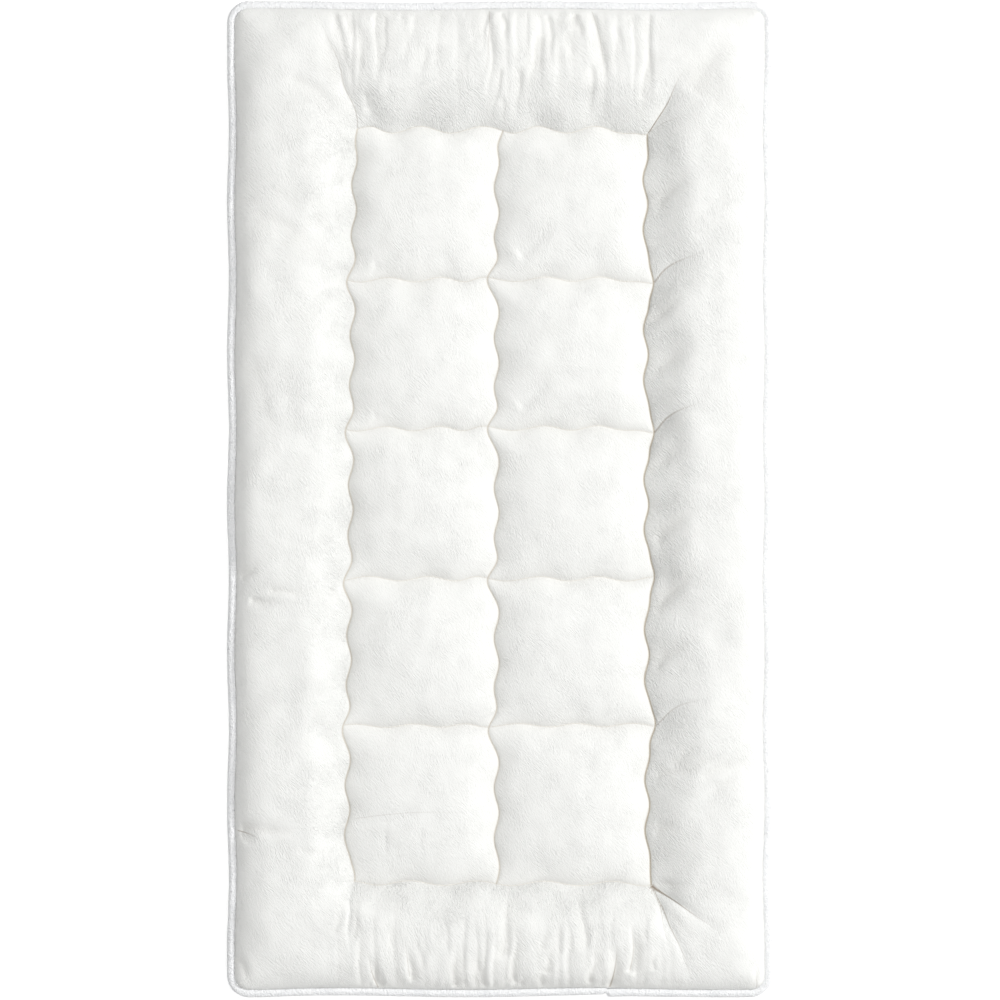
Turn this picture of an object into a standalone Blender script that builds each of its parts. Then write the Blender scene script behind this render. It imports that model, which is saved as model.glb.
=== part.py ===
"""A quilted plush mattress topper, lying flat with its face up.

It is one filled pad, two tiles wide and five long, inside a fat border roll, with a
round piping sewn into the seam all round its edge. X runs across the topper, Y along
it and Z up; the origin is on the floor under its middle, and lengths are in metres.
"""

import math
from collections import namedtuple

import bmesh
import bpy
from mathutils import Vector, noise

# Driving dimensions
WIDTH = 0.726  # over the piping
LENGTH = 1.326
CORNER_RADIUS = 0.030  # of the outline, seen from above
PIPING_DIAMETER = 0.012
SEWING_GAP = 0.0004  # between the pad's edge and the piping

LONG_SEAMS = (-0.200, -0.004, 0.203)  # across the width: left, middle, right
CROSS_SEAMS = (-0.507, -0.301, -0.106, 0.094, 0.292, 0.491)  # from foot to head

# Heights over the floor
EDGE_HEIGHT = 0.022  # the piping's middle
EDGE_THICKNESS = 0.006  # the pad where the piping is sewn on
SEAM_HEIGHT = 0.024  # the face along a sewn channel
TILE_HEIGHT = 0.044  # a tile's crown
ROLL_HEIGHT = 0.052  # the border roll's crown
LOWEST_FOLD = 0.018  # no fold goes deeper than this height
CHANNEL_DEPTH = 0.010  # of the sewn channels under the pad

# How the face and the underside rise from their seams
LIP = 0.0035  # the steep first part beside a seam
LIP_REACH = 0.0028
TILE_EASE = 0.033  # how far from a seam a tile keeps rising
INNER_FLANK = 0.48  # the roll's slopes, as shares of its width
OUTER_FLANK = 0.46
EVEN_SHARE = 0.36  # the straight part of the inner slope
CHANNEL_REACH = 0.022
LUMP_RISE = 0.0025  # unevenness of the filling
LUMP_SIZE = 0.110
ROLL_LUMPS = 1.5  # how much more uneven the roll is than the tiles
UNDERSIDE_ROUNDING = 0.045  # width over which the underside lifts to the piping

# Steps of the faces between two seams, and how much closer they lie beside a seam
Steps = namedtuple("Steps", "border tile border_ease tile_ease")
FACE_COLUMNS = Steps(12, 23, 0.60, 0.25)
FACE_ROWS = Steps(14, 7, 0.55, 0.70)
UNDERSIDE_COLUMNS = Steps(7, 6, 0.60, 0.80)
UNDERSIDE_ROWS = Steps(7, 6, 0.60, 0.80)

# A seam wanders by a wave, most at the seam and less beside it. shift is at the seam's
# middle, lean its drift along a metre, and phase is where a wave begins. The last three
# are how far it is drawn aside where it crosses the first, the inner and the last of the
# seams the other way.
Wave = namedtuple("Wave", "shift lean rise pitch phase first_pull pull last_pull")
LONG_WAVES = (
    Wave(0.002, 0.011, 0.0034, 0.0665, 0.451, 0.0135, -0.0055, 0.0060),
    Wave(0.000, 0.000, 0.0033, 0.0665, 0.447, 0.0016, -0.0103, 0.0100),
    Wave(-0.008, -0.003, 0.0032, 0.0665, 0.458, 0.0080, 0.0135, 0.0058),
)
CROSS_WAVES = (
    Wave(-0.004, -0.003, 0.0030, 0.0900, 0.060, 0.0, 0.0, 0.0),
    Wave(0.000, 0.003, 0.0022, 0.0720, 0.030, 0.0, 0.0, 0.0),
    Wave(0.000, -0.001, 0.0030, 0.0750, 0.055, 0.0, 0.0, 0.0),
    Wave(0.000, 0.004, 0.0030, 0.0700, 0.060, 0.0, 0.0, -0.010),
    Wave(0.000, 0.003, 0.0030, 0.0700, 0.062, 0.0, 0.0, -0.009),
    Wave(0.000, 0.000, 0.0045, 0.0775, 0.050, 0.0, 0.0, -0.011),
)
PULL_REACH = 0.020
WAVE_REACH = 0.040
CALM_ENDS = 0.150  # the waves fade out over this far from each end, and from each side
CALM_SIDES = 0.140

# The main folds, each a soft trough from one point of the face to another. bow is how far
# its middle strays to the left of the straight line, half_width and depth are its size.
Fold = namedtuple("Fold", "x y to_x to_y bow half_width depth")
HEAD_FOLDS = (
    Fold(-0.232, 0.611, -0.190, 0.494, 0.000, 0.009, 0.010),
    Fold(-0.222, 0.651, -0.195, 0.544, 0.002, 0.008, 0.010),
    Fold(-0.151, 0.644, -0.161, 0.560, 0.004, 0.008, 0.007),
    Fold(-0.105, 0.645, -0.110, 0.547, 0.000, 0.009, 0.005),
    Fold(-0.014, 0.648, -0.020, 0.523, 0.003, 0.008, 0.012),
    Fold(0.003, 0.645, 0.007, 0.600, 0.002, 0.007, 0.008),
    Fold(0.028, 0.568, 0.022, 0.504, 0.000, 0.008, 0.007),
    Fold(0.050, 0.613, 0.038, 0.536, 0.000, 0.008, 0.010),
    Fold(0.066, 0.642, 0.070, 0.563, 0.000, 0.007, 0.010),
    Fold(0.101, 0.645, 0.113, 0.604, -0.002, 0.007, 0.008),
    Fold(0.121, 0.646, 0.139, 0.549, 0.004, 0.008, 0.013),
    Fold(0.120, 0.573, 0.113, 0.496, 0.006, 0.008, 0.008),
    Fold(0.165, 0.635, 0.168, 0.563, 0.000, 0.009, 0.005),
    Fold(0.196, 0.594, 0.185, 0.501, 0.000, 0.008, 0.008),
    Fold(0.257, 0.577, 0.204, 0.494, -0.004, 0.014, 0.014),
)
FOOT_FOLDS = (
    Fold(-0.218, -0.576, -0.203, -0.530, 0.000, 0.008, 0.006),
    Fold(-0.191, -0.584, -0.189, -0.524, 0.000, 0.008, 0.007),
    Fold(-0.158, -0.648, -0.171, -0.604, 0.002, 0.008, 0.012),
    Fold(-0.115, -0.645, -0.122, -0.589, 0.000, 0.008, 0.011),
    Fold(-0.062, -0.648, -0.062, -0.597, 0.000, 0.010, 0.010),
    Fold(-0.020, -0.647, -0.028, -0.597, 0.004, 0.010, 0.010),
    Fold(0.014, -0.645, 0.020, -0.584, 0.000, 0.008, 0.010),
    Fold(0.002, -0.580, 0.007, -0.517, -0.003, 0.009, 0.009),
    Fold(0.060, -0.640, 0.070, -0.590, 0.000, 0.009, 0.009),
    Fold(0.113, -0.596, 0.103, -0.512, -0.003, 0.008, 0.009),
    Fold(0.119, -0.644, 0.128, -0.590, 0.000, 0.008, 0.011),
    Fold(0.146, -0.648, 0.155, -0.594, -0.002, 0.008, 0.015),
    Fold(0.172, -0.629, 0.176, -0.557, -0.003, 0.008, 0.011),
    Fold(0.223, -0.617, 0.203, -0.530, -0.003, 0.009, 0.008),
    Fold(0.254, -0.632, 0.212, -0.538, -0.001, 0.012, 0.011),
    Fold(0.274, -0.571, 0.212, -0.522, 0.000, 0.014, 0.014),
)
SIDE_FOLDS = (
    Fold(0.204, 0.285, 0.278, 0.317, 0.012, 0.009, 0.014),
    Fold(0.204, 0.087, 0.278, 0.119, 0.010, 0.009, 0.014),
    Fold(0.209, -0.303, 0.274, -0.261, 0.003, 0.009, 0.011),
    Fold(0.206, -0.370, 0.340, -0.341, 0.000, 0.011, 0.007),
    Fold(0.207, -0.511, 0.253, -0.510, 0.000, 0.010, 0.008),
    Fold(-0.345, -0.107, -0.308, -0.081, 0.000, 0.012, 0.006),
    Fold(-0.335, -0.134, -0.228, -0.128, 0.000, 0.010, 0.006),
    Fold(-0.345, -0.435, -0.266, -0.443, 0.000, 0.010, 0.009),
)
RIDGE_SHARE = 0.3  # of a fold's depth, thrown up beside it
RIDGE_PLACE = 1.9  # the ridge's middle and width, as shares of the fold's half width
RIDGE_WIDTH = 0.9
FOLD_FADE = 0.30  # the part of a fold's length over which it fades, and how far past its end
FOLD_RUN_OUT = 0.12
FULL_FOLDS = 0.4  # the share of the roll's rise at which the folds reach their full depth
FILLING_SPREAD = 1.25  # how much wider the filling makes each fold
DEPTH_LEFT = 0.5  # the share of each fold's depth that the filling leaves

# The outline is drawn in at each cross seam, and slightly unevenly at both ends
SIDE_DIP = 0.0025
SIDE_DIP_PITCH = 0.199
END_DIP = 0.0024
END_DIP_PITCH = 0.330
END_DIP_PHASE = 0.120
STRAIGHT_CORNER = 0.090  # length beside each corner that isn't drawn in

PIPING_SKIP = 2  # one point of the piping for this many of the face's columns
PIPING_CORNER_STEPS = 7

PLUSH_WHITE = (0.90, 0.90, 0.875, 1.0)
PIPING_WHITE = (0.91, 0.92, 0.92, 1.0)

HALF_WIDTH = WIDTH / 2 - PIPING_DIAMETER - SEWING_GAP
HALF_LENGTH = LENGTH / 2 - PIPING_DIAMETER - SEWING_GAP
PAD_RADIUS = CORNER_RADIUS - PIPING_DIAMETER - SEWING_GAP


def clamp(t):
    return min(max(t, 0.0), 1.0)


def smooth(t):
    t = clamp(t)
    return t * t * (3 - 2 * t)


def wander(wave, along, crossings):
    """How far a seam strays aside at one place along it."""
    turn = 2 * math.pi * (along - wave.phase) / wave.pitch
    aside = wave.shift + wave.lean * along + wave.rise * math.cos(turn)
    pulls = (wave.first_pull, *[wave.pull] * (len(crossings) - 2), wave.last_pull)
    for spot, pull in zip(crossings, pulls):
        aside += pull * math.exp(-(((along - spot) / PULL_REACH) ** 2))
    return aside


def sewn_place(x, y):
    """Moves a point of the even seam plan to where the wandering seams carry it."""
    inside_y = smooth((HALF_LENGTH - abs(y)) / CALM_ENDS)
    inside_x = smooth((HALF_WIDTH - abs(x)) / CALM_SIDES)
    dx = dy = 0.0
    for seam, wave in zip(LONG_SEAMS, LONG_WAVES):
        near = math.exp(-(((x - seam) / WAVE_REACH) ** 2))
        dx += near * inside_y * wander(wave, y, CROSS_SEAMS)
    for seam, wave in zip(CROSS_SEAMS, CROSS_WAVES):
        near = math.exp(-(((y - seam) / WAVE_REACH) ** 2))
        dy += near * inside_x * wander(wave, x, LONG_SEAMS)
    return x + dx, y + dy


def rounded(x, y):
    """Turns the square corners of the seam plan into quarter circles."""
    a = (abs(x) - (HALF_WIDTH - PAD_RADIUS)) / PAD_RADIUS
    b = (abs(y) - (HALF_LENGTH - PAD_RADIUS)) / PAD_RADIUS
    if a <= 0 or b <= 0:
        return x, y
    shrink_x = PAD_RADIUS * a * (1 - math.sqrt(1 - b * b / 2))
    shrink_y = PAD_RADIUS * b * (1 - math.sqrt(1 - a * a / 2))
    return x - math.copysign(shrink_x, x), y - math.copysign(shrink_y, y)


def drawn_in(x, y):
    """The outline's dips, full at the edge and none at the border's inner seam."""
    side = smooth((abs(x) - LONG_SEAMS[-1]) / (HALF_WIDTH - LONG_SEAMS[-1]))
    end = smooth((abs(y) - CROSS_SEAMS[-1]) / (HALF_LENGTH - CROSS_SEAMS[-1]))
    free_y = smooth((HALF_LENGTH - abs(y)) / STRAIGHT_CORNER)
    free_x = smooth((HALF_WIDTH - abs(x)) / STRAIGHT_CORNER)
    wave_y = 0.5 + 0.5 * math.cos(2 * math.pi * (y - CROSS_SEAMS[3]) / SIDE_DIP_PITCH)
    along_end = x + math.copysign(END_DIP_PHASE, y)
    wave_x = 0.5 + 0.5 * math.cos(2 * math.pi * along_end / END_DIP_PITCH)
    dx = SIDE_DIP * wave_y * side * free_y
    dy = END_DIP * wave_x * end * free_x
    return x - math.copysign(dx, x), y - math.copysign(dy, y)


def face_place(x, y):
    return drawn_in(*rounded(*sewn_place(x, y)))


def dome(t):
    """Nought at t = 0 and 1, and one half way between them."""
    return 4 * clamp(t) * (1 - clamp(t))


def even_then_easing(t):
    """A rise from nought to one, straight at first and then rounding smoothly to level."""
    eased = clamp((t - EVEN_SHARE) / (1 - EVEN_SHARE))
    rise = min(clamp(t), EVEN_SHARE) + (1 - EVEN_SHARE) * (eased - eased**3 + eased**4 / 2)
    return rise / (EVEN_SHARE + (1 - EVEN_SHARE) / 2)


def past_inner_seam(x, y):
    """How far a point lies outside the rectangle of the border's inner seam."""
    past_x = max(LONG_SEAMS[0] - x, x - LONG_SEAMS[-1], 0.0)
    past_y = max(CROSS_SEAMS[0] - y, y - CROSS_SEAMS[-1], 0.0)
    return math.hypot(past_x, past_y)


def edge_distance(x, y):
    """How far a point lies from the outline, with the corners rounded further in."""
    from_side = max(HALF_WIDTH - abs(x), 1e-7)
    from_end = max(HALF_LENGTH - abs(y), 1e-7)
    return (from_side**-4 + from_end**-4) ** -0.25


def seam_distance(x, y):
    """How far a point lies from the nearest quilting seam."""
    past = past_inner_seam(x, y)
    if past > 0:
        return past
    return min(*(abs(x - seam) for seam in LONG_SEAMS), *(abs(y - seam) for seam in CROSS_SEAMS))


def swelling(seams, value):
    """How far a tile has risen, steepest right beside the seams on both its sides."""
    for low, high in zip(seams, seams[1:]):
        if low <= value <= high:
            share, reach = (value - low) / (high - low), TILE_EASE / (high - low)
            rise = (1 - math.exp(-share / reach)) * (1 - math.exp((share - 1) / reach))
            return rise / (1 - math.exp(-0.5 / reach)) ** 2
    return 0.0


def fold_lift(fold, x, y):
    """How far one fold raises the face at a point: a trough with a low ridge each side."""
    run_x, run_y = fold.to_x - fold.x, fold.to_y - fold.y
    length = math.hypot(run_x, run_y)
    along = ((x - fold.x) * run_x + (y - fold.y) * run_y) / length**2
    aside = ((y - fold.y) * run_x - (x - fold.x) * run_y) / length
    aside -= fold.bow * dome(along)
    off = abs(aside) / (fold.half_width * FILLING_SPREAD)
    fade = smooth((along + FOLD_RUN_OUT) / FOLD_FADE)
    fade *= smooth((1 + FOLD_RUN_OUT - along) / FOLD_FADE)
    ridge = RIDGE_SHARE * math.exp(-(((off - RIDGE_PLACE) / RIDGE_WIDTH) ** 2))
    return fold.depth * DEPTH_LEFT * fade * (ridge - math.exp(-off * off))


def face_height(x, y):
    """The height of the plush face over the floor at a point of the seam plan."""
    past = past_inner_seam(x, y)
    lumps = LUMP_RISE * noise.noise(Vector((x, y, 0.3)) / LUMP_SIZE)
    lip = LIP * (1 - math.exp(-seam_distance(x, y) / LIP_REACH))
    if past == 0:
        swell = swelling(LONG_SEAMS, x) * swelling(CROSS_SEAMS, y)
        return SEAM_HEIGHT + lip + (TILE_HEIGHT - SEAM_HEIGHT - LIP + lumps) * swell
    share = past / (past + edge_distance(x, y))
    inner = even_then_easing(share / INNER_FLANK)
    outer = 1 - (1 - clamp((1 - share) / OUTER_FLANK)) ** 3
    puff = inner * outer
    edge = EDGE_HEIGHT + EDGE_THICKNESS / 2
    height = SEAM_HEIGHT + lip + (ROLL_HEIGHT - SEAM_HEIGHT - LIP) * inner
    height += ROLL_LUMPS * lumps * puff - (ROLL_HEIGHT - edge) * (1 - outer)
    place = sewn_place(x, y)
    folds = sum(fold_lift(f, *place) for f in HEAD_FOLDS + FOOT_FOLDS + SIDE_FOLDS)
    return max(height + folds * smooth(puff / FULL_FOLDS), LOWEST_FOLD)


def underside_height(x, y):
    """Flat on the floor, with shallow sewn channels, lifting to the piping at the edge."""
    lift = 1 - clamp(edge_distance(x, y) / UNDERSIDE_ROUNDING)
    edge = EDGE_HEIGHT - EDGE_THICKNESS / 2
    channel = CHANNEL_DEPTH * (1 - smooth(seam_distance(x, y) / CHANNEL_REACH))
    return edge * (1 - math.sqrt(1 - lift * lift)) + channel


def spread(seams, half, steps):
    """Grid lines from edge to edge through every seam, closer together beside them."""
    stops = (-half, *seams, half)
    lines = [stops[0]]
    for place, (start, end) in enumerate(zip(stops, stops[1:])):
        border = place in (0, len(stops) - 2)
        count = steps.border if border else steps.tile
        ease = steps.border_ease if border else steps.tile_ease
        for step in range(1, count + 1):
            share = step / count
            share -= ease * math.sin(2 * math.pi * share) / (2 * math.pi)
            lines.append(start + (end - start) * share)
    return lines


def add_quilted_sheet(mesh, columns, rows, height):
    """Adds a grid to the mesh, with each of its points carried to its sewn place."""
    grid = bmesh.ops.create_grid(
        mesh, x_segments=len(columns) - 1, y_segments=len(rows) - 1, size=1
    )
    for vertex in grid["verts"]:
        x = columns[round((vertex.co.x + 1) / 2 * (len(columns) - 1))]
        y = rows[round((vertex.co.y + 1) / 2 * (len(rows) - 1))]
        vertex.co = (*face_place(x, y), height(x, y))


def fabric(name, colour, roughness):
    material = bpy.data.materials.new(name)
    material.use_nodes = True
    shader = material.node_tree.nodes["Principled BSDF"]
    shader.inputs["Base Color"].default_value = colour
    shader.inputs["Roughness"].default_value = roughness
    shader.inputs["Metallic"].default_value = 0.0
    return material


def make_pad(collection):
    """The filled pad: a quilted face and an underside, closed by a thin sewn edge."""
    mesh = bmesh.new()
    face_columns = spread(LONG_SEAMS, HALF_WIDTH, FACE_COLUMNS)
    face_rows = spread(CROSS_SEAMS, HALF_LENGTH, FACE_ROWS)
    add_quilted_sheet(mesh, face_columns, face_rows, face_height)
    under_columns = spread(LONG_SEAMS, HALF_WIDTH, UNDERSIDE_COLUMNS)
    under_rows = spread(CROSS_SEAMS, HALF_LENGTH, UNDERSIDE_ROWS)
    add_quilted_sheet(mesh, under_columns, under_rows, underside_height)
    open_edges = [edge for edge in mesh.edges if edge.is_boundary]
    bmesh.ops.bridge_loops(mesh, edges=open_edges)
    bmesh.ops.recalc_face_normals(mesh, faces=mesh.faces)

    data = bpy.data.meshes.new("pad")
    mesh.to_mesh(data)
    mesh.free()
    data.shade_smooth()
    data.materials.append(fabric("plush", PLUSH_WHITE, 0.95))
    collection.objects.link(bpy.data.objects.new("pad", data))


def piping_route():
    """Points along the piping's middle, once round, level with the pad's own edge points."""
    reach = PAD_RADIUS + SEWING_GAP + PIPING_DIAMETER / 2
    mid_x, mid_y = HALF_WIDTH - PAD_RADIUS, HALF_LENGTH - PAD_RADIUS
    columns = spread(LONG_SEAMS, HALF_WIDTH, FACE_COLUMNS)[::PIPING_SKIP]
    columns = [x for x in columns if abs(x) < mid_x]
    rows = [y for y in spread(CROSS_SEAMS, HALF_LENGTH, FACE_ROWS) if abs(y) < mid_y]
    head = [(x, mid_y + reach) for x in reversed(columns)]
    left = [(-mid_x - reach, y) for y in reversed(rows)]
    foot = [(x, -mid_y - reach) for x in columns]
    right = [(mid_x + reach, y) for y in rows]
    corners = ((mid_x, mid_y), (-mid_x, mid_y), (-mid_x, -mid_y), (mid_x, -mid_y))
    route = []
    for turn, (corner, side) in enumerate(zip(corners, (head, left, foot, right))):
        for step in range(PIPING_CORNER_STEPS + 1):
            angle = (turn + step / PIPING_CORNER_STEPS) * math.pi / 2
            across, along = reach * math.cos(angle), reach * math.sin(angle)
            route.append((corner[0] + across, corner[1] + along))
        route += side
    return [drawn_in(x, y) for x, y in route]


def make_piping(collection):
    """The round piping, a cord in a sleeve of cloth, closed into one loop."""
    route = piping_route()
    curve = bpy.data.curves.new("piping", "CURVE")
    curve.dimensions = "3D"
    curve.bevel_depth = PIPING_DIAMETER / 2
    curve.bevel_resolution = 2
    spline = curve.splines.new("POLY")
    spline.points.add(len(route) - 1)
    spline.use_cyclic_u = True
    for point, (x, y) in zip(spline.points, route):
        point.co = (x, y, EDGE_HEIGHT, 1.0)
    curve.materials.append(fabric("piping_cloth", PIPING_WHITE, 0.9))
    collection.objects.link(bpy.data.objects.new("piping", curve))


def main():
    for leftover in list(bpy.data.objects):
        bpy.data.objects.remove(leftover, do_unlink=True)
    collection = bpy.data.collections.new("mattress_topper")
    bpy.context.scene.collection.children.link(collection)
    make_pad(collection)
    make_piping(collection)


main()
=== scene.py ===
"""The looks of a quilted plush mattress topper that lies flat with its plush face up.

X runs across the topper, Y along it towards the head end and Z up, in metres, with the
origin on the floor under its middle. The sections follow its making: the filled pad, the
thread that quilts it, the piping round its edge, and then the studio that it lies in.
"""

import math
from collections import namedtuple

import bpy
import numpy as np
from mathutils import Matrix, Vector, noise


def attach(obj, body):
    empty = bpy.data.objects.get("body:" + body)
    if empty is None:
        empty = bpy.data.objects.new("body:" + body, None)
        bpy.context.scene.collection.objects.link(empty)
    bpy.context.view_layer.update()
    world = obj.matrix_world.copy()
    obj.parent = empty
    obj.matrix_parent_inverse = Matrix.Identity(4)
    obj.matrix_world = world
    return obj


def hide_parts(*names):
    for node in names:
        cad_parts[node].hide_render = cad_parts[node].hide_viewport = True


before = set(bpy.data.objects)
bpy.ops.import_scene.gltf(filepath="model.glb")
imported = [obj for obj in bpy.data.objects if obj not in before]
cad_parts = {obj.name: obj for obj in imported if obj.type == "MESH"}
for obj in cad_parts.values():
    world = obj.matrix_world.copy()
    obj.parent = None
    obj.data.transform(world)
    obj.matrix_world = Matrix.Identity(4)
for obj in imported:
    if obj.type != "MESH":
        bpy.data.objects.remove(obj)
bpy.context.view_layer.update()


# The pad is a plush face and a backing cloth with fibre filling between them, quilted
# through into two rows of five tiles inside a fat border roll. Its face is longer than
# its edge, so that the cloth is gathered at both ends and creased at the corners.
WIDTH = 0.726  # over the piping
LENGTH = 1.326
CORNER_RADIUS = 0.030
PIPING_DIAMETER = 0.012
SEWN_IN = 0.0012  # how far the cloth's edge is caught inside the piping
HALF_WIDTH = WIDTH / 2 - PIPING_DIAMETER + SEWN_IN
HALF_LENGTH = LENGTH / 2 - PIPING_DIAMETER + SEWN_IN
PAD_RADIUS = CORNER_RADIUS - PIPING_DIAMETER + SEWN_IN

LONG_SEAMS = (-0.200, -0.004, 0.203)
CROSS_SEAMS = (-0.507, -0.301, -0.106, 0.094, 0.292, 0.491)
EDGE_HEIGHT = 0.022
EDGE_THICKNESS = 0.010
SEAM_HEIGHT = 0.024
TILE_HEIGHT = 0.044
ROLL_HEIGHT = 0.052
LOWEST_FOLD = 0.018  # no fold goes deeper than this height
LIP = 0.0017  # how far the face rises steeply right beside a seam
LIP_REACH = 0.0028
EDGE_LIP = 0.010  # the same beside the piping
EDGE_LIP_REACH = 0.011
HEAD_LIP_SHARE = 0.4  # how much of it there is at the head
TILE_EASE = 0.033  # how far from a seam a tile keeps rising
INNER_FLANK = 0.48  # the roll's slopes, as shares of its width
OUTER_FLANK = 0.46
EVEN_SHARE = 0.36  # the straight part of the inner slope
ROLL_LUMPS = 1.4  # how much more uneven the roll is than the tiles
CHANNEL_DEPTH = 0.010
CHANNEL_REACH = 0.022
UNDERSIDE_ROUNDING = 0.045

# Steps of the face's grid between two seams, and how much closer they lie beside a seam.
# The underside has one step for FACE_STEPS_PER_UNDERSIDE_STEP of the face's.
Steps = namedtuple("Steps", "border tile border_ease tile_ease")
FACE_COLUMNS = Steps(48, 102, 0.45, 0.25)
FACE_ROWS = Steps(66, 60, 0.45, 0.55)
FACE_STEPS_PER_UNDERSIDE_STEP = 3

# A seam wanders by a wave. The last three are how far it is drawn aside where it crosses
# the first, the inner and the last of the seams the other way.
Wave = namedtuple("Wave", "shift lean rise pitch phase first_pull pull last_pull")
LONG_WAVES = (
    Wave(0.002, 0.011, 0.0034, 0.0665, 0.451, 0.0135, -0.0055, 0.0060),
    Wave(0.000, 0.000, 0.0033, 0.0665, 0.447, 0.0016, -0.0103, 0.0100),
    Wave(-0.008, -0.003, 0.0032, 0.0665, 0.458, 0.0080, 0.0135, 0.0058),
)
CROSS_WAVES = (
    Wave(-0.004, -0.003, 0.0030, 0.0900, 0.060, 0.0, 0.0, 0.0),
    Wave(0.000, 0.003, 0.0022, 0.0720, 0.030, 0.0, 0.0, 0.0),
    Wave(0.000, -0.001, 0.0030, 0.0750, 0.055, 0.0, 0.0, 0.0),
    Wave(0.000, 0.004, 0.0030, 0.0700, 0.060, 0.0, 0.0, -0.010),
    Wave(0.000, 0.003, 0.0030, 0.0700, 0.062, 0.0, 0.0, -0.009),
    Wave(0.000, 0.000, 0.0045, 0.0775, 0.050, 0.0, 0.0, -0.011),
)
PULL_REACH = 0.020
WAVE_REACH = 0.040
CALM_ENDS = 0.150  # the waves fade out over this far from each end, and from each side
CALM_SIDES = 0.140

# The outline is drawn in at each cross seam, and slightly unevenly at both ends
SIDE_DIP = 0.0025
SIDE_DIP_PITCH = 0.199
END_DIP = 0.0024
END_DIP_PITCH = 0.330
END_DIP_PHASE = 0.120
STRAIGHT_CORNER = 0.090  # length beside each corner that isn't drawn in

# The unevenness of the filling: how far each kind of lump rises, how wide it is, and which
# layer of the noise it is read from
Lumps = namedtuple("Lumps", "rise size layer")
BROAD_LUMPS = Lumps(0.0025, 0.110, 0.3)
FINE_LUMPS = (Lumps(0.0012, 0.042, 0.1), Lumps(0.0006, 0.018, 0.1))
OUTER_FLANK_LUMPS = Lumps(0.55, 0.075, 0.6)  # how unevenly wide the slopes are, as shares
INNER_FLANK_LUMPS = Lumps(0.35, 0.075, 0.9)
TILE_EASE_IN = 2.0  # how fast fine lumps and folds come in as a tile rises
ROLL_EASE_IN = 2.5  # the same on the roll

# Each fold is a soft trough from one point of the face to another. bow is how far its
# middle strays to the left of the straight line between them. depth sets how strongly it
# shows: the face sinks by FOLD_DEPTH_SHARE of it.
Fold = namedtuple("Fold", "x y to_x to_y bow half_width depth")
HEAD_FOLDS = (
    Fold(-0.232, 0.611, -0.190, 0.494, 0.000, 0.008, 0.007),
    Fold(-0.222, 0.651, -0.195, 0.544, 0.002, 0.006, 0.007),
    Fold(-0.208, 0.647, -0.190, 0.604, 0.000, 0.006, 0.006),
    Fold(-0.183, 0.624, -0.181, 0.538, 0.000, 0.009, 0.006),
    Fold(-0.181, 0.538, -0.166, 0.499, 0.000, 0.006, 0.005),
    Fold(-0.151, 0.644, -0.161, 0.560, 0.004, 0.006, 0.006),
    Fold(-0.130, 0.651, -0.130, 0.629, 0.000, 0.004, 0.005),
    Fold(-0.111, 0.645, -0.123, 0.591, 0.000, 0.007, 0.004),
    Fold(-0.097, 0.600, -0.105, 0.547, 0.000, 0.006, 0.004),
    Fold(-0.042, 0.604, -0.045, 0.542, 0.000, 0.008, 0.003),
    Fold(-0.016, 0.648, -0.024, 0.584, 0.000, 0.007, 0.009),
    Fold(-0.012, 0.631, -0.018, 0.523, 0.004, 0.005, 0.007),
    Fold(0.003, 0.568, -0.012, 0.499, 0.000, 0.005, 0.006),
    Fold(0.003, 0.645, 0.007, 0.600, 0.002, 0.006, 0.009),
    Fold(0.004, 0.531, 0.006, 0.494, 0.000, 0.006, 0.005),
    Fold(0.028, 0.568, 0.022, 0.504, 0.000, 0.007, 0.007),
    Fold(0.050, 0.613, 0.038, 0.536, 0.000, 0.007, 0.010),
    Fold(0.066, 0.642, 0.070, 0.563, 0.000, 0.006, 0.010),
    Fold(0.088, 0.618, 0.094, 0.568, 0.000, 0.006, 0.005),
    Fold(0.101, 0.645, 0.113, 0.604, -0.002, 0.006, 0.009),
    Fold(0.121, 0.646, 0.139, 0.549, 0.004, 0.006, 0.010),
    Fold(0.120, 0.573, 0.113, 0.496, 0.006, 0.006, 0.007),
    Fold(0.155, 0.626, 0.168, 0.563, 0.000, 0.006, 0.004),
    Fold(0.172, 0.642, 0.167, 0.621, 0.000, 0.005, 0.004),
    Fold(0.196, 0.594, 0.185, 0.501, 0.000, 0.007, 0.007),
)
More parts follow.
